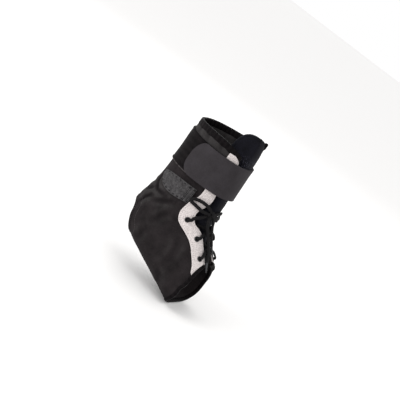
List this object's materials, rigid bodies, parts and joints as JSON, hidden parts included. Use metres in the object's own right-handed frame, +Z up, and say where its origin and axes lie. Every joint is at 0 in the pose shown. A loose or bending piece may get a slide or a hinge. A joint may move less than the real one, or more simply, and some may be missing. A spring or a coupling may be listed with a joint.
{
  "type": "lace-up ankle brace",
  "caption": "Soft ankle brace with open heel and toe, laced front over a padded tongue, pale eyelet facings, a wide wrap strap and a hook tab, held in its worn shape.",
  "frame": {"origin": "the middle of the ankle inside the brace, where an ankle carries it", "axes": "+Z up the leg, +X towards the toes, +Y to the inner side of a right ankle"},
  "size_m": [0.1354, 0.0789, 0.2267],
  "materials": {
    "cloth": "matt knitted laminate",
    "binding": "woven tape",
    "facing": "matt synthetic leather cloth",
    "tongue": "soft padded knit",
    "band": "looped pile",
    "wrap": "brushed loop fabric",
    "tab": "hook fabric",
    "lace": "braided cord",
    "eyelet": "black enamel",
    "tip": "smooth"
  },
  "bodies": {
    "root": {"boot_body": "cloth", "top_binding": "binding", "toe_binding": "binding", "heel_binding": "binding", "outer_facing": "facing", "inner_facing": "facing", "tongue": "tongue", "strap_band": "band", "wrap_strap": "wrap", "hook_tab": "tab", "lace": "lace", "lace_knot": "lace", "lace_loop_outer": "lace", "lace_loop_inner": "lace", "lace_end_front": "lace", "lace_end_inner": "lace", "lace_tip_front": "tip", "lace_tip_inner": "tip", "eyelet_outer_1": "eyelet", "eyelet_outer_2": "eyelet", "eyelet_outer_3": "eyelet", "eyelet_inner_1": "eyelet", "eyelet_inner_2": "eyelet", "eyelet_inner_3": "eyelet"}
  },
  "joints": []
}
